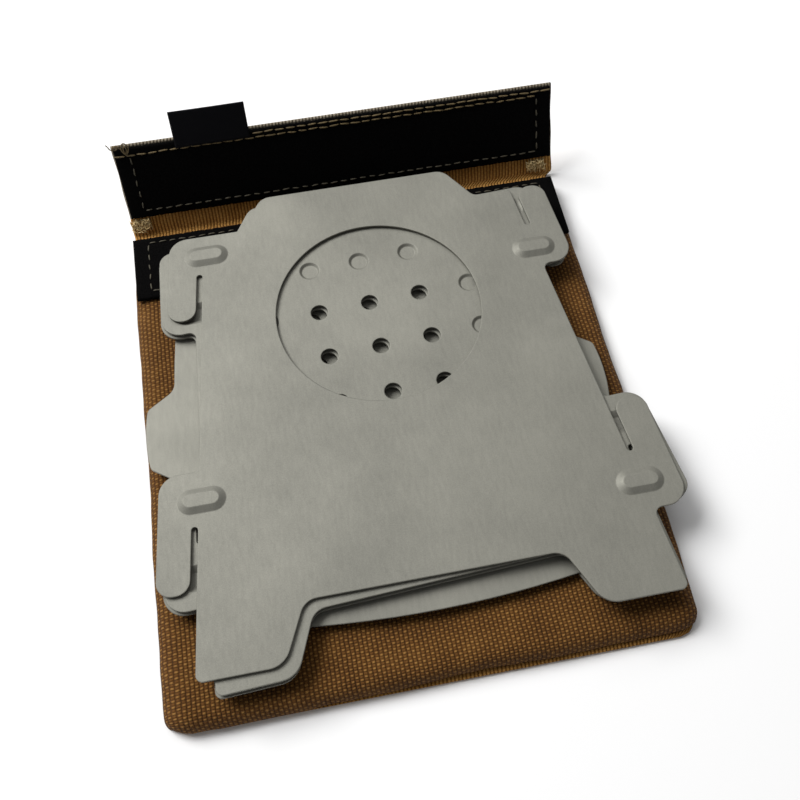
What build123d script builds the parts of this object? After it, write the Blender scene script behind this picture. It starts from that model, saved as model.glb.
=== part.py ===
from build123d import *
import os

# A flat-packed camping stove: four hooked side panels and a base plate, laid on their
# canvas sleeve. Millimetres. +Z up, +X to the viewer's right, +Y towards the sleeve's flap.
# The origin is on the ground under the middle of the sleeve's pocket.

# Sheet metal
sheet = 0.7
pad_draft = 60
dimple_draft = 45

# Side panel, measured in its own frame: x across, y up from the line of its feet
panel_height = 165.0
foot_half_front = 71.7
foot_half_vented = 69.5
side_half_at_foot = 71.7
side_lean = 0.1078
crown_half = 33.2
shoulder_half = 41.9
shoulder_height = 151.9
crown_radius = 5.5
shoulder_radius = 3.0
foot_radius = 2.0
cutout_half_low = 46.6
cutout_half_high = 38.6
cutout_height = 17.5
cutout_radius_low = 7.0
cutout_radius_high = 5.5

# Hooks: the left pair opens downwards, the right pair upwards, so neighbours half-lap
hook_slot = 2.0
hook_lap_gap = 0.6
hook_lap_high = 135.7
hook_lap_low = 45.2
high_hook_top = 152.2
high_hook_bottom = 118.4
high_hook_out_top = 67.2
high_hook_out_bottom = 70.4
low_hook_top = 63.3
low_hook_bottom = 25.5
low_hook_out_top = 77.2
low_hook_out_bottom = 81.0
finger_radius = 4.6
hook_corner_radius = 6.5
hook_root_radius = 2.4

# Stiffening pads pressed outwards beside each hook slot
pad_length = 15.0
pad_width = 8.2
pad_rise = 1.2
pad_places = [(-55.0, 143.5), (-65.0, 53.7), (57.5, 125.7), (67.5, 34.7)]

# Fuel port of the front panel
port_radius = 34.6
port_height = 110.9

# Vent pattern of the other panels: holes inside a ring of pressed dimples
vent_pitch = 17.4
vent_radius = 2.9
vent_columns = 3
vent_rows = 5
vent_top_row = 116.1
dimple_radius = 3.5
dimple_depth = 0.8

# Base plate with two tabs that pass through the side panels
plate_half_width = 65.75
plate_half_length = 69.3
plate_bow_radius = 330.0
plate_corner_radius = 3.0
tab_reach = 9.6
tab_tip_drop = 1.0
tab_root_half = 16.5
tab_tip_half = 10.5
tab_root_radius = 5.0
tab_tip_radius = 2.5
grate_pitch = 17.4
grate_hole_radius = 2.9
grate_count = 5
tab_slot_height = 22.0
tab_slot_side_gap = 0.6
tab_slot_thick_gap = 0.9

# Canvas sleeve
canvas = 1.1
pocket_half_width = 78.3
foot_line = -78.0
pocket_before_feet = 9.6
mouth_short_of_crown = 2.6
pocket_front = foot_line - pocket_before_feet
pocket_mouth = foot_line + panel_height - mouth_short_of_crown
pocket_slant = 2.0
pocket_corner_radius = 4.0
pocket_high = 5.2
pocket_low = 4.2
step_before_strip = 3.5
step_length = 6.0
seam_width = 5.0
mouth_to_fold = 5.8
fold_line = pocket_mouth + mouth_to_fold
back_lip_gap = 0.8

# Hook-and-loop strips, their stitching, the bar tacks and the tag
strip = 1.0
strip_depth = 26.0
strip_to_mouth = 0.9
step_to = pocket_mouth - strip_to_mouth - strip_depth - step_before_strip
step_from = step_to - step_length
strip_side_inset = 0.3
stitch_inset = 2.6
stitch_end_inset = 5.4
thread = 0.5
thread_rise = 0.3
tack_length = 7.0
tack_width = 5.0
tack_rise = 1.0
tack_to_strip = 0.35
left_tack_inset = 0.2
right_tack_inset = 2.8
flap_angle = 61.5
flap_middle = 1.2
flap_half_width = 79.7
flap_start = 0.9
flap_strip_start = 7.65
flap_above_strip = 0.7
flap_length = flap_strip_start + strip_depth + flap_above_strip
flap_strip_side_inset = 0.8
flap_corner_radius = 2.0
top_row_inset = 1.0
top_row_from_tag = 1.0
tag_from_side = 22.3
tag_left = flap_middle - flap_half_width + tag_from_side
tag_width = 26.4
tag_stand = 9.7
tag_thick = 0.5

# Sizes of tools that only cut: longer than anything they cut through
cut_through = 3 * sheet
cut_wide = 400.0
cut_tall = 60.0
corner_steps = 20

# How the sheets lie on one another: clear gaps from the canvas up
rest_gap = 0.2
back_to_plate = 0.3
nested_gap = 0.9
front_gap = 0.5

# Where each sheet lies: x, y of its foot line's middle or its own middle, and its turn
front_pose = (3.5, foot_line, 0.0)
right_side_pose = (6.5, foot_line - 1.2, 2.7)
left_side_pose = (6.0, foot_line - 1.7, 2.7)
plate_pose = (-2.4, 0.0, -1.0)
back_pose = (4.0, foot_line + 1.6, 0.5)

# Heights worked out from the pile
canvas_top = canvas + pocket_high + canvas
back_low = canvas_top + rest_gap + pad_rise
plate_low = back_low + sheet + back_to_plate
left_low = plate_low + sheet + rest_gap + pad_rise
right_low = left_low + sheet + nested_gap
front_low = right_low + sheet + front_gap


def save(name, shape):
    export_step(shape, f"parts/{name}.step")


def side_at(height):
    return side_half_at_foot - side_lean * height


def face_from(points):
    places = [(x, y) for x, y, radius in points]
    radii = [radius for x, y, radius in points]
    return make_face(FilletPolyline(*places, radius=radii, close=True).edges())


def plate_from(face, thickness, low=0.0):
    return Pos(0, 0, low) * extrude(face, thickness, dir=(0, 0, 1))


def slot_tip(height, sign, radius):
    inner = side_at(height)
    return [(sign * inner, height, radius), (sign * (inner + hook_slot), height, radius)]


def right_hook(low, top, out_low, out_top, lap):
    tip = slot_tip(lap - hook_lap_gap / 2, 1, hook_slot / 2 - 0.01)
    return [
        (side_at(low), low, hook_root_radius),
        (out_low, low, hook_corner_radius),
        (out_top, top, finger_radius),
        (side_at(top) + hook_slot, top, finger_radius),
        tip[1],
        tip[0],
    ]


def left_hook(low, top, out_low, out_top, lap, root):
    tip = slot_tip(lap + hook_lap_gap / 2, -1, hook_slot / 2 - 0.01)
    return root + [
        (-out_top, top, hook_corner_radius),
        (-out_low, low, finger_radius),
        (-(side_at(low) + hook_slot), low, finger_radius),
        tip[1],
        tip[0],
    ]


def panel_outline(foot_half):
    right = [
        (cutout_half_high, cutout_height, cutout_radius_high),
        (cutout_half_low, 0, cutout_radius_low),
        (foot_half, 0, foot_radius),
    ]
    low_right = right_hook(
        low_hook_bottom, low_hook_top, low_hook_out_bottom, low_hook_out_top, hook_lap_low
    )
    high_right = right_hook(
        high_hook_bottom, high_hook_top, high_hook_out_bottom, high_hook_out_top, hook_lap_high
    )
    crown = [
        (side_at(shoulder_height), shoulder_height, hook_root_radius / 2),
        (shoulder_half, shoulder_height, shoulder_radius),
        (crown_half, panel_height, crown_radius),
        (-crown_half, panel_height, crown_radius),
        (-shoulder_half, shoulder_height, shoulder_radius),
    ]
    high_left = left_hook(
        high_hook_bottom, shoulder_height, high_hook_out_bottom, high_hook_out_top, hook_lap_high, []
    )
    root = [(-side_at(low_hook_top), low_hook_top, hook_root_radius)]
    low_left = left_hook(
        low_hook_bottom, low_hook_top, low_hook_out_bottom, low_hook_out_top, hook_lap_low, root
    )
    left = [(-x, y, radius) for x, y, radius in reversed(right)]
    return face_from(right + low_right + high_right + crown + high_left + low_left + left)


def drafted(face, low, rise, draft):
    # A pressing: full size at low, drawn in by the draft towards low + rise
    return Pos(0, 0, low) * extrude(face, rise, dir=(0, 0, 1), taper=draft)


def press_outwards(panel, face, rise, draft):
    # Metal pushed out of the outer side, with the matching hollow on the inner side
    panel = panel + drafted(face, sheet, rise, draft)
    return panel - drafted(face, 0, rise, draft)


def panel_blank(foot_half):
    panel = plate_from(panel_outline(foot_half), sheet)
    for x, y in pad_places:
        pad = Pos(x, y) * SlotOverall(pad_length, pad_width)
        panel = press_outwards(panel, pad, pad_rise, pad_draft)
    return panel


def front_panel_shape():
    port = Pos(0, port_height) * Circle(port_radius)
    return panel_blank(foot_half_front) - plate_from(port, cut_through, -sheet)


def vented_panel_shape():
    panel = panel_blank(foot_half_vented)
    reach = (vent_columns + 1) // 2
    for row in range(-1, vent_rows + 1):
        y = vent_top_row - row * vent_pitch
        for column in range(-reach, reach + 1):
            place = Pos(column * vent_pitch, y)
            if row in (-1, vent_rows) or abs(column) == reach:
                dimple = place * Circle(dimple_radius)
                panel = press_outwards(panel, dimple, dimple_depth, dimple_draft)
            else:
                panel = panel - plate_from(place * Circle(vent_radius), cut_through, -sheet)
    return panel


def side_panel_shape():
    # The tab slot is as wide as the tab is where it passes the wall
    wall = side_at(tab_slot_height)
    narrowing = (tab_root_half - tab_tip_half) / (tab_reach - tab_tip_drop)
    tab_half = tab_root_half - (wall - sheet - plate_half_width) * narrowing
    slot = Pos(0, tab_slot_height) * Rectangle(
        2 * (tab_half + tab_slot_side_gap), sheet + tab_slot_thick_gap
    )
    return vented_panel_shape() - plate_from(slot, cut_through, -sheet)


def bow(half_reach, along):
    return half_reach - plate_bow_radius + (plate_bow_radius**2 - along**2) ** 0.5


def base_plate_shape():
    corner_x, corner_y = plate_half_width, plate_half_length
    for step in range(corner_steps):
        corner_x = bow(plate_half_width, corner_y)
        corner_y = bow(plate_half_length, corner_x)
    root_x = bow(plate_half_width, tab_root_half)
    tip_x = plate_half_width + tab_reach - tab_tip_drop
    between = (corner_y + tab_root_half) / 2
    between_x = bow(plate_half_width, between)
    edges = []
    for sign in (1, -1):
        edges.append(
            ThreePointArc(
                (-corner_x, sign * corner_y), (0, sign * plate_half_length), (corner_x, sign * corner_y)
            )
        )
        for end in (1, -1):
            edges.append(
                ThreePointArc(
                    (sign * corner_x, end * corner_y),
                    (sign * between_x, end * between),
                    (sign * root_x, end * tab_root_half),
                )
            )
            edges.append(Line((sign * root_x, end * tab_root_half), (sign * tip_x, end * tab_tip_half)))
        edges.append(
            ThreePointArc(
                (sign * tip_x, -tab_tip_half),
                (sign * (plate_half_width + tab_reach), 0),
                (sign * tip_x, tab_tip_half),
            )
        )
    face = make_face(edges)
    for place, radius in (
        ((corner_x, corner_y), plate_corner_radius),
        ((root_x, tab_root_half), tab_root_radius),
        ((tip_x, tab_tip_half), tab_tip_radius),
    ):
        near = [
            v
            for v in face.vertices()
            if abs(abs(v.X) - place[0]) < 0.01 and abs(abs(v.Y) - place[1]) < 0.01
        ]
        face = fillet(near, radius)
    plate = plate_from(face, sheet)
    for column in range(grate_count):
        for row in range(grate_count):
            x = (column - (grate_count - 1) / 2) * grate_pitch
            y = (row - (grate_count - 1) / 2) * grate_pitch
            plate = plate - plate_from(Pos(x, y) * Circle(grate_hole_radius), cut_through, -sheet)
    return plate


def laid(shape, pose, low):
    x, y, turn = pose
    return Pos(x, y, low) * Rot(0, 0, turn) * shape


def face_down(shape):
    return Pos(0, 0, sheet) * Rot(0, 180, 0) * shape


def pocket_outline(inset):
    half = pocket_half_width - inset
    low = pocket_front + inset
    points = [
        (-half, low - pocket_slant / 2, pocket_corner_radius),
        (half, low + pocket_slant / 2, pocket_corner_radius),
        (half, pocket_mouth, 0),
        (-half, pocket_mouth, 0),
    ]
    return face_from(points)


def under_front(extra):
    # Side view of the space under the front canvas, as (y, z), up to its underside plus extra
    high = canvas + pocket_high + extra
    low = canvas + pocket_low + extra
    front = pocket_front - pocket_slant
    return [(front, high), (step_from, high), (step_to, low), (pocket_mouth, low)]


def side_view(points):
    # A side view drawn in (y, z), drawn out across the whole pocket
    wall = make_face(Polyline([(0, y, z) for y, z in points], close=True).edges())
    return extrude(wall, pocket_half_width + 1, both=True, dir=(1, 0, 0))


def pocket_fill(bottom, top):
    roof = under_front(top)
    floor = [(y, bottom) for y in (roof[-1][0], roof[0][0])]
    return side_view(roof + floor)


def sleeve_shapes():
    tall = canvas_top + 1
    block = plate_from(pocket_outline(0), tall)
    hollow = plate_from(pocket_outline(seam_width), tall)
    roof = side_view(under_front(canvas) + list(reversed(under_front(0))))
    save("sleeve_front", block & roof)
    rim = (block - hollow) & pocket_fill(canvas, 0)
    side_width = 2 * (pocket_half_width - seam_width)
    low_end = pocket_front + seam_width + pocket_slant / 2
    middle = Pos(0, low_end - cut_wide / 2, 0) * Box(side_width, cut_wide, cut_tall)
    save("bottom_seam", rim & middle)
    for name, sign in (("left_side_seam", -1), ("right_side_seam", 1)):
        side = Pos(sign * pocket_half_width, 0, 0) * Box(2 * seam_width, cut_wide, cut_tall)
        save(name, rim & side)
    back = plate_from(pocket_outline(0), canvas)
    lip_end = fold_line - back_lip_gap
    lip = Pos(0, (pocket_mouth + lip_end) / 2, canvas / 2) * Box(
        2 * pocket_half_width, lip_end - pocket_mouth, canvas
    )
    save("sleeve_back", back + lip)


def thread_ring(length, depth):
    outer = Rectangle(length + thread, depth + thread)
    inner = Rectangle(length - thread, depth - thread)
    return plate_from(outer - inner, thread_rise)


def pocket_trim():
    strip_low = canvas + pocket_low + canvas
    strip_length = 2 * (pocket_half_width - strip_side_inset)
    middle_y = pocket_mouth - strip_to_mouth - strip_depth / 2
    save("pocket_strip", Pos(0, middle_y, strip_low + strip / 2) * Box(strip_length, strip_depth, strip))
    ring = thread_ring(strip_length - 2 * stitch_end_inset, strip_depth - 2 * stitch_inset)
    save("pocket_strip_stitching", Pos(0, middle_y, strip_low + strip) * ring)


def on_flap(shape):
    # Flap's own frame: x across, y along the flap from the fold, z towards the viewer
    return Pos(flap_middle, fold_line, canvas / 2) * Rot(flap_angle, 0, 0) * shape


def flap_shapes():
    body = Pos(0, (flap_start + flap_length) / 2, 0) * RectangleRounded(
        2 * flap_half_width, flap_length - flap_start, flap_corner_radius
    )
    save("flap_canvas", on_flap(plate_from(body, canvas, -canvas / 2)))
    strip_half = flap_half_width - flap_strip_side_inset
    middle = flap_strip_start + strip_depth / 2
    face = canvas / 2
    strip_box = Box(2 * strip_half, strip_depth, strip)
    save("flap_strip", on_flap(Pos(0, middle, face + strip / 2) * strip_box))
    ring = thread_ring(2 * (strip_half - stitch_end_inset), strip_depth - 2 * stitch_inset)
    save("flap_strip_stitching", on_flap(Pos(0, middle, face + strip) * ring))
    # The tag lies over the strip, down to the ring's top row
    tag_start = tag_left - flap_middle
    strip_top = flap_strip_start + strip_depth
    tag_low = strip_top - stitch_inset + thread / 2
    tag_long = flap_length + tag_stand - tag_low
    tag = Pos(tag_start + tag_width / 2, tag_low + tag_long / 2, face + strip + tag_thick / 2)
    save("woven_tag", on_flap(tag * Box(tag_width, tag_long, tag_thick)))
    # A second row from the tag to the right end, and the ring's top row run on to the left end
    row_start = tag_start + tag_width + top_row_from_tag
    left_run = stitch_end_inset - thread / 2
    runs = [
        (row_start, strip_half, strip_top - top_row_inset),
        (-strip_half, -strip_half + left_run, strip_top - stitch_inset),
    ]
    rows = Part()
    for low_x, high_x, y in runs:
        row = Box(high_x - low_x, thread, thread_rise)
        rows += on_flap(Pos((low_x + high_x) / 2, y, face + strip + thread_rise / 2) * row)
    save("flap_top_stitching", rows)
    # The bar tacks show on the bare canvas between the fold and the strip, one at each end
    tack_y = flap_strip_start - tack_to_strip - tack_width / 2
    left_x = -flap_half_width + left_tack_inset + tack_length / 2
    right_x = flap_half_width - right_tack_inset - tack_length / 2
    tack_box = Box(tack_length, tack_width, tack_rise)
    save("left_bar_tack", on_flap(Pos(left_x, tack_y, face + tack_rise / 2) * tack_box))
    save("right_bar_tack", on_flap(Pos(right_x, tack_y, face + tack_rise / 2) * tack_box))


def sheet_shapes():
    side_panel = side_panel_shape()
    back_panel = vented_panel_shape()
    save("back_panel", laid(face_down(back_panel), back_pose, back_low))
    save("base_plate", laid(base_plate_shape(), plate_pose, plate_low))
    save("left_side_panel", laid(face_down(side_panel), left_side_pose, left_low))
    save("right_side_panel", laid(face_down(side_panel), right_side_pose, right_low))
    save("front_panel", laid(front_panel_shape(), front_pose, front_low))


os.makedirs("parts", exist_ok=True)
sleeve_shapes()
pocket_trim()
flap_shapes()
sheet_shapes()
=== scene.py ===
import math
import random

import bmesh
import bpy
from mathutils import Matrix, Vector


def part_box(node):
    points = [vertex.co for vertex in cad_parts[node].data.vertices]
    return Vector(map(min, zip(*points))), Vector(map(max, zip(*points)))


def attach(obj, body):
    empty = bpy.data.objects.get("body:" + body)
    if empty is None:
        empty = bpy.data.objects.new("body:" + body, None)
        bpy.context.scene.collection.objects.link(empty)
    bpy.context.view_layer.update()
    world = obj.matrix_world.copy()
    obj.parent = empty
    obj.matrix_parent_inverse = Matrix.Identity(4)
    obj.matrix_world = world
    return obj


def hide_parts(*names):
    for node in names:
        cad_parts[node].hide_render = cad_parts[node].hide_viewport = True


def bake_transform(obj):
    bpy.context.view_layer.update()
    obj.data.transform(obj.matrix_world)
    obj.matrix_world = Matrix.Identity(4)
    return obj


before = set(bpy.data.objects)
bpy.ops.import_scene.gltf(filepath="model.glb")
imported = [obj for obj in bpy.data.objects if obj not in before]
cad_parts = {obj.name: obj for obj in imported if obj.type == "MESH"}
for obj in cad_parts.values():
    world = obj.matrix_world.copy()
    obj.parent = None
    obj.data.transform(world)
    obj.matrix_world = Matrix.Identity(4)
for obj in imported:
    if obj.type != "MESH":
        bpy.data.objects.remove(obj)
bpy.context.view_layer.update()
chance = random.Random(11)

# Sizes in metres, with the flap's angle in radians
CANVAS = 0.0011
STRIP = 0.0010
THREAD = 0.00055
FLAP_ANGLE = math.radians(61.5)
FLAP_MIDDLE = 0.0012
FOLD_Y = 0.0902
FOLD_Z = CANVAS / 2
FOLD_BEND = 0.0024
STRIP_DEPTH = 0.0260
FLAP_STRIP_START = 0.00765
FLAP_LENGTH = 0.03435
STEP_FROM = 0.048
STEP_TO = 0.054
SLACK_RUN = 0.120
SEAM_INNER = 0.0012
WORN_TOP = 0.0012
WORN_SIDE = 0.0011
FLOOR_DROP = 0.0001

# Stitches
STITCH_INSET = 0.0026
STITCH_END_INSET = 0.0054
TOP_ROW_INSET = 0.0010
TOP_ROW_FROM_TAG = 0.0010
STITCH_LENGTH = 0.0026
STITCH_GAP = 0.0009
TOP_STITCH_LENGTH = 0.0036
TOP_STITCH_GAP = 0.0002
STITCH_SLIP = 0.00012
STITCH_LEAN = 0.00014
LOOSE_THREAD = THREAD * 0.36

# Bar tacks: zigzag threads with loose fibres over them
TACK_LENGTH = 0.0070
TACK_LOW = 0.0012
TACK_HIGH = 0.0073
LEFT_TACK_X = -0.0795
RIGHT_TACK_X = 0.0699
TACK_THREADS = 15
TACK_LEAN = 0.0005
TACK_UNEVEN = 0.0007
TACK_SHARE = 0.98
TACK_GAP = 0.00001
TACK_FIBRES = 26
FIBRE_MARGIN = 0.0006
FIBRE_BEND = (0.0002, 0.0006)
FIBRE_REACH = (0.0006, 0.0012)
FIBRE_FOOT = 0.0004
FIBRE_TOP = 0.0006
FIBRE_THREAD = THREAD * 0.30

# Hook-and-loop strips: a soft, slightly frayed edge
STRIP_SOFT_EDGE = 0.0012
STRIP_EDGE_DROP = 0.00025
FRAY_WIDTH = 0.0005
FRAY_REACH = 0.00016

# Tag
TAG_STAND = 0.0097
TAG_THICK = 0.0004
TAG_OFF_STRIP = 0.00025
TAG_CURL = 0.0002

# Weave: the widths of its threads, how deep it looks and how far it strays, in metres
WEAVE_ACROSS = 0.00130
RIB_ACROSS = 0.00120
WEAVE_ALONG = 0.00085
WEAVE_DEPTH = 0.00045
WEAVE_WOBBLE = 0.00026

# Puckers along the seams: how high, in metres, and how close, in radians to the metre
PUCKER = 0.00016
PUCKER_RATE = 900

# Sides of a thread, rings along a stitch, and steps between two points of a loose thread
TUBE_SIDES = 6
STITCH_RINGS = 6
CURVE_STEPS = 6

# Camera, as the photograph was taken
CAMERA_AT = Vector((-0.01993, -0.13261, 0.27861))
CAMERA_RIGHT = Vector((0.98220, -0.18781, -0.00355))
CAMERA_UP = Vector((0.16931, 0.87698, 0.44972))
CAMERA_FORWARD = Vector((0.08135, 0.44232, -0.89316))
FOCAL_PIXELS = 921.33
PICTURE_PIXELS = 800
SENSOR = 36.0

# Lamps and sky, in metres and watts
SKY_STRENGTH = 0.19
KEY_AT = (-1.00, 0.80, 1.42)
KEY_POWER = 45.5
KEY_SIZE = 1.0
TOP_AT = (0.15, 0.95, 1.35)
TOP_POWER = 6.0
TOP_SIZE = 1.1

METAL_NODES = ("front_panel", "right_side_panel", "left_side_panel", "base_plate", "back_panel")


# Materials


class Nodes:
    """A material's node tree, with short ways to add and join nodes."""

    def __init__(self, name):
        self.material = bpy.data.materials.new(name)
        self.material.use_nodes = True
        self.tree = self.material.node_tree
        self.shader = self.tree.nodes["Principled BSDF"]

    def add(self, kind, **inputs):
        node = self.tree.nodes.new(kind)
        for key, value in inputs.items():
            node.inputs[key].default_value = value
        return node

    def join(self, out, into):
        self.tree.links.new(out, into)

    def place(self):
        return self.add("ShaderNodeTexCoord").outputs["Object"]

    def stretched(self, scale):
        mapping = self.add("ShaderNodeMapping")
        mapping.inputs["Scale"].default_value = scale
        self.join(self.place(), mapping.inputs["Vector"])
        return mapping.outputs["Vector"]

    def noise(self, size, detail=3.0, vector=None):
        node = self.add("ShaderNodeTexNoise", Scale=1 / size, Detail=detail)
        self.join(vector or self.place(), node.inputs["Vector"])
        return node.outputs["Fac"]

    def wave(self, size, along):
        node = self.add("ShaderNodeTexWave", Scale=math.pi / (10 * size) * 2)
        node.bands_direction = along
        self.join(self.place(), node.inputs["Vector"])
        return node.outputs["Fac"]

    def maths(self, kind, a, b=0.0):
        node = self.add("ShaderNodeMath")
        node.operation = kind
        for socket, value in zip(node.inputs, (a, b)):
            if isinstance(value, (int, float)):
                socket.default_value = value
            else:
                self.join(value, socket)
        return node.outputs[0]

    def ramp(self, amount, stops):
        node = self.add("ShaderNodeValToRGB")
        ramp = node.color_ramp
        while len(ramp.elements) < len(stops):
            ramp.elements.new(0.5)
        for element, (place, colour) in zip(ramp.elements, stops):
            element.position = place
            element.color = (*colour, 1)
        self.join(amount, node.inputs["Fac"])
        return node.outputs["Color"]

    def spread(self, amount, low, high):
        node = self.add("ShaderNodeMapRange")
        node.inputs["To Min"].default_value = low
        node.inputs["To Max"].default_value = high
        self.join(amount, node.inputs["Value"])
        return node.outputs["Result"]

    def bump(self, height, distance, strength=1.0):
        node = self.add("ShaderNodeBump", Strength=strength, Distance=distance)
        self.join(height, node.inputs["Height"])
        self.join(node.outputs["Normal"], self.shader.inputs["Normal"])


def titanium():
    made = Nodes("titanium")
    shader = made.shader
    shader.inputs["Metallic"].default_value = 0.6
    blotches = made.noise(0.030, 5.0)
    grain = made.noise(0.00030, 2.0)
    brushed = made.noise(0.0011, 3.0, made.stretched((1.0, 0.22, 1.0)))
    shade = made.maths(
        "ADD",
        made.maths("ADD", made.maths("MULTIPLY", blotches, 0.45), made.maths("MULTIPLY", grain, 0.35)),
        made.maths("MULTIPLY", brushed, 0.20),
    )
    tones = [(0.36, (0.198, 0.195, 0.168)), (0.64, (0.273, 0.268, 0.230))]
    made.join(made.ramp(shade, tones), shader.inputs["Base Color"])
    made.join(made.spread(shade, 0.72, 0.60), shader.inputs["Roughness"])
    rounded = made.add("ShaderNodeBevel", Radius=0.0005)
    rounded.samples = 6
    bump = made.add("ShaderNodeBump", Strength=0.4, Distance=0.00003)
    made.join(grain, bump.inputs["Height"])
    made.join(rounded.outputs["Normal"], bump.inputs["Normal"])
    made.join(bump.outputs["Normal"], shader.inputs["Normal"])
    return made.material


def cloth_place(made):
    """The cloth's own across and along, in metres, a little wavy as hand-guided thread is."""
    own = made.add("ShaderNodeAttribute")
    own.attribute_name = "cloth"
    drift = made.add("ShaderNodeTexNoise", Scale=260.0, Detail=2.0)
    made.join(own.outputs["Vector"], drift.inputs["Vector"])
    shift = made.add("ShaderNodeVectorMath")
    shift.operation = "MULTIPLY_ADD"
    made.join(drift.outputs["Color"], shift.inputs[0])
    shift.inputs[1].default_value = (2 * WEAVE_WOBBLE, 2 * WEAVE_WOBBLE, 0)
    made.join(own.outputs["Vector"], shift.inputs[2])
    return shift.outputs["Vector"]


def thread_wave(made, vector, axis, pitch):
    split = made.add("ShaderNodeSeparateXYZ")
    made.join(vector, split.inputs[0])
    return made.maths("SINE", made.maths("MULTIPLY", split.outputs[axis], math.pi / pitch))


def woven(name, across, ribs, tones):
    """Plain-weave cloth: ribs is how much the up-and-down threads stand out, from 0 to 1."""
    made = Nodes(name)
    shader = made.shader
    vector = cloth_place(made)
    warp = thread_wave(made, vector, 0, across)
    weave = made.maths("MULTIPLY", warp, thread_wave(made, vector, 1, WEAVE_ALONG))
    upper = made.maths("POWER", made.maths("MAXIMUM", weave, 0.0), 0.6)
    under = made.maths("POWER", made.maths("MAXIMUM", made.maths("MULTIPLY", weave, -1.0), 0.0), 0.6)
    cell = made.maths("ADD", upper, made.maths("MULTIPLY", under, 0.55))
    rib = made.maths("POWER", made.maths("ABSOLUTE", warp), 0.8)
    height = made.maths("ADD", made.maths("MULTIPLY", cell, 1 - ribs), made.maths("MULTIPLY", rib, ribs))
    sided = made.maths("MULTIPLY", weave, 0.09 * (1 - ribs))
    # Painted shade between the threads: the colour follows the threads' height, darker in the gaps and
    # hollows of the weave and lighter on the crowns of the threads, on top of the bump.
    over = made.maths("ADD", sided, made.maths("MULTIPLY", height, 0.46))
    patches = made.noise(0.007, 4.0, vector)
    fibres = made.noise(0.00040, 3.0, vector)
    mottled = made.maths("ADD", made.maths("MULTIPLY", patches, 0.34), made.maths("MULTIPLY", fibres, 0.34))
    made.join(made.ramp(made.maths("ADD", over, mottled), tones), shader.inputs["Base Color"])
    shader.inputs["Roughness"].default_value = 0.9
    shader.inputs["Specular IOR Level"].default_value = 0.2
    made.bump(made.maths("ADD", height, made.maths("MULTIPLY", fibres, 0.35)), WEAVE_DEPTH)
    return made.material


def canvas():
    tones = [(0.26, (0.022, 0.008, 0.001)), (0.56, (0.112, 0.045, 0.008)), (0.98, (0.315, 0.165, 0.044))]
    return woven("canvas", WEAVE_ACROSS, 0.25, tones)


def ribbed_canvas():
    tones = [(0.26, (0.060, 0.022, 0.003)), (0.56, (0.330, 0.150, 0.030)), (0.94, (0.640, 0.360, 0.110))]
    return woven("ribbed_canvas", RIB_ACROSS, 0.75, tones)


def worn_edge():
    tones = [(0.22, (0.040, 0.032, 0.020)), (0.52, (0.150, 0.122, 0.084)), (0.90, (0.340, 0.300, 0.230))]
    return woven("worn_edge", RIB_ACROSS, 0.75, tones)


def black_strip():
    made = Nodes("black_strip")
    shader = made.shader
    fuzz = made.noise(0.0005, 4.0)
    tones = [(0.3, (0.0006, 0.0006, 0.0006)), (0.75, (0.0035, 0.0032, 0.0032))]
    made.join(made.ramp(fuzz, tones), shader.inputs["Base Color"])
    shader.inputs["Roughness"].default_value = 0.95
    shader.inputs["Specular IOR Level"].default_value = 0.04
    made.bump(fuzz, 0.0003, 0.7)
    return made.material


def thread_material(name, dark, light):
    made = Nodes(name)
    shader = made.shader
    fibres = made.noise(0.0004, 3.0)
    made.join(made.ramp(fibres, [(0.3, dark), (0.7, light)]), shader.inputs["Base Color"])
    shader.inputs["Roughness"].default_value = 0.7
    made.bump(fibres, 0.0001, 0.6)
    return made.material


def tag_material():
    made = Nodes("tag_ribbon")
    shader = made.shader
    ribs = made.wave(0.0005, "Z")
    # Painted shade in the ribbon's grooves: the colour follows the same ribs as the bump, darker between
    # the ribs and lighter on them.
    tones = [(0.2, (0.0012, 0.0012, 0.0018)), (0.8, (0.0045, 0.0045, 0.0065))]
    made.join(made.ramp(ribs, tones), shader.inputs["Base Color"])
    shader.inputs["Roughness"].default_value = 0.8
    shader.inputs["Specular IOR Level"].default_value = 0.1
    made.bump(ribs, 0.00006, 0.5)
    return made.material


TITANIUM = titanium()
CANVAS_CLOTH = canvas()
RIBBED = ribbed_canvas()
WORN = worn_edge()
BLACK = black_strip()
GOLD = thread_material("gold_thread", (0.060, 0.040, 0.013), (0.210, 0.150, 0.062))
DULL = thread_material("dull_thread", (0.022, 0.019, 0.011), (0.090, 0.077, 0.047))
CREAM = thread_material("cream_thread", (0.36, 0.24, 0.09), (0.82, 0.64, 0.33))
TAG = tag_material()


# Helpers


def piece(name, points, faces, material, smooth=True):
    mesh = bpy.data.meshes.new(name)
    mesh.from_pydata([tuple(point) for point in points], [], faces)
    mesh.materials.append(material)
    fixed = bmesh.new()
    fixed.from_mesh(mesh)
    bmesh.ops.recalc_face_normals(fixed, faces=fixed.faces)
    fixed.to_mesh(mesh)
    fixed.free()
    for face in mesh.polygons:
        face.use_smooth = smooth
    made = bpy.data.objects.new(name, mesh)
    bpy.context.scene.collection.objects.link(made)
    return made


def thick_grid(columns, rows, place, thick):
    """Points and faces of a closed sheet: place(u, v) gives its middle and its normal."""
    points, faces = [], []
    for side in (1, -1):
        for row in range(rows + 1):
            for column in range(columns + 1):
                middle, normal = place(column / columns, row / rows)
                points.append(middle + normal * (side * thick / 2))
    across = columns + 1
    layer = across * (rows + 1)
    for row in range(rows):
        for column in range(columns):
            a = row * across + column
            faces.append((a, a + 1, a + across + 1, a + across))
            faces.append((layer + a, layer + a + across, layer + a + across + 1, layer + a + 1))
    rim = [row * across for row in range(rows)] + [rows * across + column for column in range(columns)]
    rim += [row * across + columns for row in range(rows, 0, -1)] + list(range(columns, 0, -1))
    for start, end in zip(rim, rim[1:] + rim[:1]):
        faces.append((start, end, layer + end, layer + start))
    return points, faces


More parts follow.
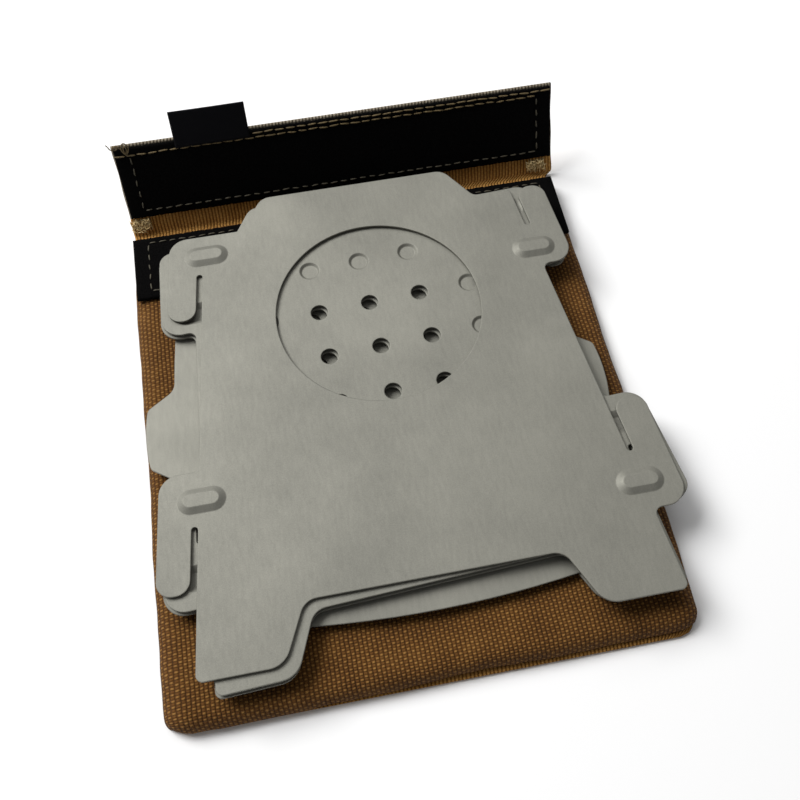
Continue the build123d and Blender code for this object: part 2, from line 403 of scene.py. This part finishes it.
def lay_weave(made, columns, rows, size):
    """Gives a thick grid the cloth's own across and along, in metres, for its weave."""
    own = made.data.attributes.new("cloth", "FLOAT_VECTOR", "POINT")
    spots = []
    for side in range(2):
        for row in range(rows + 1):
            for column in range(columns + 1):
                spots += [size[0] * column / columns, size[1] * row / rows, 0.0]
    own.data.foreach_set("vector", spots)


def flap_point(x, along, off):
    """A point on the flap: across, along it from the fold, and off its middle towards the viewer."""
    y = FOLD_Y + along * math.cos(FLAP_ANGLE) - off * math.sin(FLAP_ANGLE)
    z = FOLD_Z + along * math.sin(FLAP_ANGLE) + off * math.cos(FLAP_ANGLE)
    return Vector((x + FLAP_MIDDLE, y, z))


FLAP_OFF = Vector((0, -math.sin(FLAP_ANGLE), math.cos(FLAP_ANGLE)))


def metal():
    for name in METAL_NODES:
        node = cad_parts[name]
        node.data.materials.clear()
        node.data.materials.append(TITANIUM)


metal()


# Camera, floor and light


def camera():
    data = bpy.data.cameras.new("camera")
    data.sensor_width = SENSOR
    data.lens = FOCAL_PIXELS * SENSOR / PICTURE_PIXELS
    data.clip_start = 0.01
    made = bpy.data.objects.new("camera", data)
    turn = Matrix((CAMERA_RIGHT, CAMERA_UP, -CAMERA_FORWARD)).transposed()
    made.matrix_world = Matrix.Translation(CAMERA_AT) @ turn.to_4x4()
    bpy.context.scene.collection.objects.link(made)
    bpy.context.scene.camera = made


def floor():
    made = Nodes("floor")
    made.shader.inputs["Base Color"].default_value = (0.9, 0.9, 0.9, 1)
    made.shader.inputs["Roughness"].default_value = 0.9
    half = 3.0
    corners = [(-half, -half, 0), (half, -half, 0), (half, half, 0), (-half, half, 0)]
    ground = piece("floor", corners, [(0, 1, 2, 3)], made.material, smooth=False)
    ground.location.z = -FLOOR_DROP


def lamp(name, place, power, size):
    """A square lamp that looks at the origin."""
    data = bpy.data.lights.new(name, "AREA")
    data.energy = power
    data.size = size
    made = bpy.data.objects.new(name, data)
    made.location = place
    made.rotation_euler = (-Vector(place)).to_track_quat("-Z", "Y").to_euler()
    bpy.context.scene.collection.objects.link(made)


def light():
    world = bpy.data.worlds.new("studio")
    world.use_nodes = True
    world.node_tree.nodes["Background"].inputs["Color"].default_value = (1, 1, 1, 1)
    world.node_tree.nodes["Background"].inputs["Strength"].default_value = SKY_STRENGTH
    bpy.context.scene.world = world
    lamp("key", KEY_AT, KEY_POWER, KEY_SIZE)
    lamp("top", TOP_AT, TOP_POWER, TOP_SIZE)
    bpy.context.scene.view_settings.view_transform = "Standard"


camera()
floor()
light()

# Cloth

FRONT_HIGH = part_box("sleeve_front")[1]
BACK_LOW, BACK_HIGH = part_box("sleeve_back")
STRIP_LOW, STRIP_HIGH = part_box("pocket_strip")
FLAP_LOW, FLAP_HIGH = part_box("flap_canvas")
FLAP_STRIP_LOW, FLAP_STRIP_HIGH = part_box("flap_strip")
TAG_LOW, TAG_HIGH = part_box("woven_tag")
MOUTH_Y = FRONT_HIGH.y
EDGE_ROUND = 0.0052
CORNER_ROUND = 0.0052
POCKET_SLANT = 0.0020
SIDE_SLACK = 0.0014


def soft_rise(x, y):
    """Slow, shallow dips of cloth that isn't stretched tight, in metres."""
    return 0.00030 * math.sin(47 * x + 31 * y) + 0.00018 * math.sin(113 * y - 71 * x) - 0.00030


def front_height(y):
    """The middle of the front canvas: high over the pile, low under the strip."""
    high = FRONT_HIGH.z - CANVAS / 2
    low = STRIP_LOW.z - CANVAS / 2
    share = min(1.0, max(0.0, (y - STEP_FROM) / (STEP_TO - STEP_FROM)))
    share = share * share * (3 - 2 * share)
    return high + (low - high) * share


def wander(at):
    """How far a sewn edge strays, in metres."""
    return 0.00055 * math.sin(58 * at + 1.1) + 0.00030 * math.sin(141 * at) + 0.00010 * math.sin(520 * at)


def rounded_share(share):
    """From 0 to 1 along an edge's round: how far out it is and how far up it still is."""
    return math.sin(share * math.pi / 2), math.cos(share * math.pi / 2)


def front_canvas():
    half = FRONT_HIGH.x
    round_share = 0.045
    low_edge = BACK_HIGH.z - CANVAS / 2
    rise_from = BACK_HIGH.z

    def across(u):
        """The distance from the middle line, and how much of its height is left, from 0 to 1."""
        side = abs(2 * u - 1)
        limit = 1 - 2 * round_share
        if side <= limit:
            return (half - EDGE_ROUND) * side / limit, 1.0
        out, up = rounded_share((side - limit) / (1 - limit))
        return half - EDGE_ROUND + EDGE_ROUND * out, up

    def upwards(v, bottom):
        if v >= round_share:
            straight = MOUTH_Y - bottom - EDGE_ROUND
            return bottom + EDGE_ROUND + (v - round_share) / (1 - round_share) * straight, 1.0
        out, up = rounded_share(1 - v / round_share)
        return bottom + EDGE_ROUND - EDGE_ROUND * out, up

    def place(u, v):
        size, up_x = across(u)
        sign = 1 if u > 0.5 else -1
        bottom = BACK_LOW.y + (sign * size + half) / (2 * half) * POCKET_SLANT
        y, up_y = upwards(v, bottom)
        over_x, over_y = size - (half - CORNER_ROUND), bottom + CORNER_ROUND - y
        if over_x > 0 and over_y > 0:
            a, b = over_x / CORNER_ROUND, min(1.0, over_y / CORNER_ROUND)
            size = half - CORNER_ROUND + CORNER_ROUND * a * math.sqrt(1 - b * b / 2)
            y = bottom + CORNER_ROUND - CORNER_ROUND * b * math.sqrt(1 - a * a / 2)
        up = up_x * up_y
        full = front_height(y) + min(0.0, soft_rise(sign * size, y)) * up
        pucker = PUCKER * math.sin(PUCKER_RATE * y) * (1 - up_x)
        pucker += PUCKER * math.sin(PUCKER_RATE * size) * (1 - up_y)
        z = rise_from + (full - rise_from) * up ** 0.75 + pucker * up
        slack = SIDE_SLACK * min(1.0, max(0.0, (MOUTH_Y - y) / SLACK_RUN))
        size += (slack - 0.6 * wander(y * sign)) * (1 - up_x)
        y += max(0.0, wander(sign * size) + 0.0004) * (1 - up_y) * 0.8
        normal = Vector((sign * (1 - up_x), -(1 - up_y), max(up, 0.05)))
        return Vector((sign * size, y, max(z, low_edge))), normal.normalized()

    columns, rows = 170, 170
    points, faces = thick_grid(columns, rows, place, CANVAS)
    made = piece("front_canvas", points, faces, CANVAS_CLOTH)
    lay_weave(made, columns, rows, (2 * half, MOUTH_Y - BACK_LOW.y))
    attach(made, "sleeve")
    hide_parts("sleeve_front")


def seam_allowances():
    """The sewn edges turned to the inside: two layers of canvas along each seam."""
    for name in ("left_side_seam", "right_side_seam", "bottom_seam"):
        low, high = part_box(name)
        along_x = name == "bottom_seam"
        start, end = (low.x, high.x) if along_x else (low.y + CORNER_ROUND, high.y - SEAM_INNER)
        wide_low, wide_high = (low.y, high.y) if along_x else (low.x, high.x)
        wide_low, wide_high = wide_low + SEAM_INNER * 1.6, wide_high - SEAM_INNER * 1.6
        base = BACK_HIGH.z
        columns, rows = 8, 90

        def place(u, v):
            at = start + (end - start) * v
            side = wide_low + (wide_high - wide_low) * u + 0.00015 * math.sin(230 * at)
            z = base + CANVAS + 0.0003 * math.sin(math.pi * u)
            return Vector((at, side, z) if along_x else (side, at, z)), Vector((0, 0, 1))

        points, faces = thick_grid(columns, rows, place, 2 * CANVAS)
        made = piece(name + "_allowance", points, faces, CANVAS_CLOTH)
        lay_weave(made, columns, rows, (wide_high - wide_low, end - start))
        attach(made, "sleeve")
        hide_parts(name)


def back_and_flap_canvas():
    """One piece of canvas: under the pocket, round the fold and up the flap."""
    half_pocket = BACK_HIGH.x
    half_flap = (FLAP_HIGH.x - FLAP_LOW.x) / 2
    bottom = BACK_LOW.y
    flat_long = FOLD_Y - bottom
    bend_from, bend_to = flat_long - FOLD_BEND / 2, flat_long + FOLD_BEND / 2
    total = flat_long + FLAP_LENGTH
    radius = FOLD_BEND / FLAP_ANGLE

    def place(u, v):
        along = v * total
        share = min(1.0, max(0.0, (along - bend_from) / FOLD_BEND))
        half = half_pocket + (half_flap - half_pocket) * share
        side = 2 * u - 1
        x = side * half + FLAP_MIDDLE * share
        near_bottom = CORNER_ROUND - along
        if near_bottom > 0:
            b = near_bottom / CORNER_ROUND
            x -= side * CORNER_ROUND * (1 - math.sqrt(max(0.0, 1 - b * b))) * abs(side) ** 12
        stray = 0.00035 * math.sin(70 * along) + 0.00012 * math.sin(410 * along)
        x -= math.copysign(max(0.0, stray), side) * abs(side) ** 20
        turned = share * FLAP_ANGLE
        if along <= bend_from:
            return Vector((x, bottom + along, FOLD_Z)), Vector((0, 0, 1))
        past = max(0.0, along - bend_to)
        y = bottom + bend_from + radius * math.sin(turned) + past * math.cos(turned)
        z = FOLD_Z + radius * (1 - math.cos(turned)) + past * math.sin(turned)
        return Vector((x, y, z)), Vector((0, -math.sin(turned), math.cos(turned)))

    columns, rows = 120, 320
    points, faces = thick_grid(columns, rows, place, CANVAS)
    made = piece("back_canvas", points, faces, RIBBED)
    made.data.materials.append(WORN)
    worn_above = flap_point(0, FLAP_LENGTH - WORN_TOP, 0).z
    sides_above = flap_point(0, FLAP_STRIP_START, 0).z
    for face in made.data.polygons:
        aside = abs(face.center.x - FLAP_MIDDLE) > half_flap - WORN_SIDE
        face.material_index = int(face.center.z > (sides_above if aside else worn_above))
    lay_weave(made, columns, rows, (2 * half_flap, total))
    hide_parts("sleeve_back", "flap_canvas")
    # Both points have the same x, so the bend is the same all across
    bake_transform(made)


def strip_piece(name, node, body, length, depth, place):
    def spot(u, v):
        x = (u - 0.5) * length
        across = (v - 0.5) * depth
        edge = min(length / 2 - abs(x), depth / 2 - abs(across))
        middle, normal = place(x, across)
        thin = STRIP_EDGE_DROP * max(0.0, 1 - edge / STRIP_SOFT_EDGE)
        fray = FRAY_REACH * chance.uniform(-1, 1) if edge < FRAY_WIDTH else 0.0
        return middle - normal * thin + Vector((0, fray, 0)), normal

    columns, rows = 170, 34
    points, faces = thick_grid(columns, rows, spot, STRIP)
    made = piece(name, points, faces, BLACK)
    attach(made, body)
    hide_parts(node)


def stitch_row(points, faces, start, end, normal, length, gap):
    """Adds short rounded stitches from start to end, standing on the cloth with the given normal."""
    run = end - start
    along = run.normalized()
    side = along.cross(normal).normalized()
    count = max(1, int(run.length / (length + gap)))
    pitch = run.length / count
    for number in range(count):
        slip = side * chance.uniform(-STITCH_SLIP, STITCH_SLIP)
        centre = start + along * (pitch * (number + 0.5)) + slip
        half = length / 2 * chance.uniform(0.85, 1.1)
        lean = side * chance.uniform(-STITCH_LEAN, STITCH_LEAN)
        base = len(points)
        rings, sides = STITCH_RINGS, TUBE_SIDES
        for ring in range(rings + 1):
            t = ring / rings * 2 - 1
            swell = math.sqrt(max(0.05, 1 - t**4)) * THREAD / 2
            lift = swell * 0.5 + THREAD * 0.15 * (1 - t * t)
            for turn in range(sides):
                angle = 2 * math.pi * turn / sides
                offset = side * (math.cos(angle) * swell) + normal * (math.sin(angle) * swell * 0.8 + lift)
                points.append(centre + along * (half * t) + lean * t + offset)
        for ring in range(rings):
            for turn in range(sides):
                a = base + ring * sides + turn
                b = base + ring * sides + (turn + 1) % sides
                faces.append((a, b, b + sides, a + sides))
        faces.append(tuple(base + turn for turn in range(sides)))
        faces.append(tuple(base + rings * sides + turn for turn in range(sides)))


def thread_curve(points, faces, path, radius):
    """Adds a loose thread: a thin tube through the points of its path, smoothed."""
    spots = []
    for before, start, end, after in zip([path[0]] + path, path, path[1:], path[2:] + [path[-1]]):
        for step in range(CURVE_STEPS):
            t = step / CURVE_STEPS
            spots.append(
                0.5 * (2 * start + (end - before) * t + (2 * before - 5 * start + 4 * end - after) * t * t
                + (3 * start - before - 3 * end + after) * t**3)
            )
    spots.append(path[-1])
    sides = TUBE_SIDES
    base = len(points)
    for number, spot in enumerate(spots):
        run = (spots[min(number + 1, len(spots) - 1)] - spots[max(number - 1, 0)]).normalized()
        side = run.cross(FLAP_OFF).normalized()
        up = side.cross(run)
        for turn in range(sides):
            angle = 2 * math.pi * turn / sides
            points.append(spot + (side * math.cos(angle) + up * math.sin(angle)) * radius)
    for number in range(len(spots) - 1):
        for turn in range(sides):
            a = base + number * sides + turn
            b = base + number * sides + (turn + 1) % sides
            faces.append((a, b, b + sides, a + sides))
    faces.append(tuple(base + turn for turn in range(sides)))
    faces.append(tuple(len(points) - sides + turn for turn in range(sides)))


def stitch_piece(name, node, body, runs, normal, material, size=(STITCH_LENGTH, STITCH_GAP), loose=()):
    points, faces = [], []
    for start, end in runs:
        stitch_row(points, faces, start, end, normal, *size)
    for path in loose:
        thread_curve(points, faces, path, LOOSE_THREAD)
    made = piece(name, points, faces, material)
    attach(made, body)
    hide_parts(node)


def ring_runs(half_long, half_deep, place):
    """The four sides of a rectangle of stitches, each as its start and end."""
    corners = [(-1, -1), (1, -1), (1, 1), (-1, 1)]
    spots = [place(x * half_long, y * half_deep) for x, y in corners]
    return list(zip(spots, spots[1:] + spots[:1]))


def pocket_strip():
    length = STRIP_HIGH.x - STRIP_LOW.x
    depth = STRIP_HIGH.y - STRIP_LOW.y
    middle_y = (STRIP_HIGH.y + STRIP_LOW.y) / 2
    middle_z = (STRIP_HIGH.z + STRIP_LOW.z) / 2
    up = Vector((0, 0, 1))
    strip_piece(
        "pocket_hook_strip", "pocket_strip", "sleeve", length, depth,
        lambda x, across: (Vector((x, middle_y + across, middle_z)), up),
    )
    runs = ring_runs(
        length / 2 - STITCH_END_INSET, depth / 2 - STITCH_INSET,
        lambda x, across: Vector((x, middle_y + across, STRIP_HIGH.z)),
    )
    stitch_piece("pocket_stitches", "pocket_strip_stitching", "sleeve", runs, up, DULL)


# Loose thread at the flap's upper left corner, as (across, along, off), on the flap
LOOSE_ENDS = [
    [
        (-0.0746, 0.0313, 0.0018), (-0.0757, 0.0332, 0.0022), (-0.0754, 0.0352, 0.0027),
        (-0.0743, 0.0359, 0.0029), (-0.0733, 0.0345, 0.0025), (-0.0735, 0.0328, 0.0020),
        (-0.0745, 0.0314, 0.0018),
    ],
    [
        (-0.0748, 0.0316, 0.0021), (-0.0750, 0.0337, 0.0026), (-0.0744, 0.0348, 0.0029),
        (-0.0739, 0.0334, 0.0024), (-0.0747, 0.0317, 0.0020),
    ],
    [
        (-0.0789, 0.0336, 0.0018), (-0.0784, 0.0350, 0.0024), (-0.0773, 0.0352, 0.0027),
        (-0.0771, 0.0341, 0.0022), (-0.0781, 0.0338, 0.0022), (-0.0779, 0.0351, 0.0028),
        (-0.0766, 0.0349, 0.0024), (-0.0762, 0.0338, 0.0018),
    ],
    [
        (-0.0785, 0.0338, 0.0020), (-0.0795, 0.0341, 0.0022), (-0.0800, 0.0352, 0.0025),
        (-0.0806, 0.0360, 0.0024),
    ],
]


def flap_strip():
    length = FLAP_STRIP_HIGH.x - FLAP_STRIP_LOW.x
    middle = FLAP_STRIP_START + STRIP_DEPTH / 2
    off = CANVAS / 2 + STRIP / 2
    strip_piece(
        "flap_loop_strip", "flap_strip", "flap", length, STRIP_DEPTH,
        lambda x, across: (flap_point(x, middle + across, off), FLAP_OFF),
    )
    face = CANVAS / 2 + STRIP
    runs = ring_runs(
        length / 2 - STITCH_END_INSET, STRIP_DEPTH / 2 - STITCH_INSET,
        lambda x, across: flap_point(x, middle + across, face),
    )
    stitch_piece("flap_stitches", "flap_strip_stitching", "flap", runs[:2] + runs[3:], FLAP_OFF, DULL)
    strip_top = FLAP_STRIP_START + STRIP_DEPTH
    from_tag = TAG_HIGH.x - FLAP_MIDDLE + TOP_ROW_FROM_TAG
    gold_runs = [
        (-length / 2, length / 2 - STITCH_END_INSET, strip_top - STITCH_INSET),
        (from_tag, length / 2, strip_top - TOP_ROW_INSET),
    ]
    tops = [(flap_point(low, y, face), flap_point(high, y, face)) for low, high, y in gold_runs]
    loose = [[flap_point(*spot) for spot in path] for path in LOOSE_ENDS]
    size = (TOP_STITCH_LENGTH, TOP_STITCH_GAP)
    stitch_piece("flap_top_row", "flap_top_stitching", "flap", tops, FLAP_OFF, GOLD, size, loose)


def bar_tacks():
    """Dense zigzag thread, with loose fibres, at both ends of the bare canvas above the fold."""
    face = CANVAS / 2
    for name, left in (("left_bar_tack", LEFT_TACK_X), ("right_bar_tack", RIGHT_TACK_X)):
        points, faces = [], []
        for number in range(TACK_THREADS):
            x = left + TACK_LENGTH * (number + 0.5) / TACK_THREADS
            lean = TACK_LEAN * (1 if number % 2 else -1)
            start = flap_point(x - lean, TACK_LOW + chance.uniform(0, TACK_UNEVEN), face)
            end = flap_point(x + lean, TACK_HIGH - chance.uniform(0, TACK_UNEVEN), face)
            stitch_row(points, faces, start, end, FLAP_OFF, (end - start).length * TACK_SHARE, TACK_GAP)
        for number in range(TACK_FIBRES):
            x = left + TACK_LENGTH * chance.uniform(0.05, 0.95)
            y = chance.uniform(TACK_LOW + FIBRE_MARGIN, TACK_HIGH - FIBRE_MARGIN)
            turn = chance.uniform(0, math.pi)
            bend = chance.uniform(*FIBRE_BEND)
            reach = chance.uniform(*FIBRE_REACH)
            across, along = reach * math.cos(turn), reach * math.sin(turn)
            path = [
                flap_point(x - across, y - along, face + FIBRE_FOOT),
                flap_point(x, y, face + FIBRE_TOP + bend),
                flap_point(x + across, y + along, face + FIBRE_FOOT),
            ]
            thread_curve(points, faces, path, FIBRE_THREAD)
        made = piece(name + "_threads", points, faces, CREAM)
        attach(made, "flap")
        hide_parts(name)


def tag():
    width = TAG_HIGH.x - TAG_LOW.x
    low = FLAP_STRIP_START + STRIP_DEPTH - STITCH_INSET + THREAD / 2
    high = FLAP_LENGTH + TAG_STAND
    face = CANVAS / 2 + STRIP

    def spot(u, v):
        along = low + (high - low) * v
        x = TAG_LOW.x - FLAP_MIDDLE + width * u
        curl = TAG_CURL * math.sin(math.pi * u) * v
        return flap_point(x, along, face + TAG_OFF_STRIP + curl), FLAP_OFF

    columns, rows = 36, 20
    points, faces = thick_grid(columns, rows, spot, TAG_THICK)
    made = piece("bare_tag", points, faces, TAG)
    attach(made, "flap")
    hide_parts("woven_tag")


back_and_flap_canvas()
front_canvas()
seam_allowances()
pocket_strip()
flap_strip()
bar_tacks()
tag()
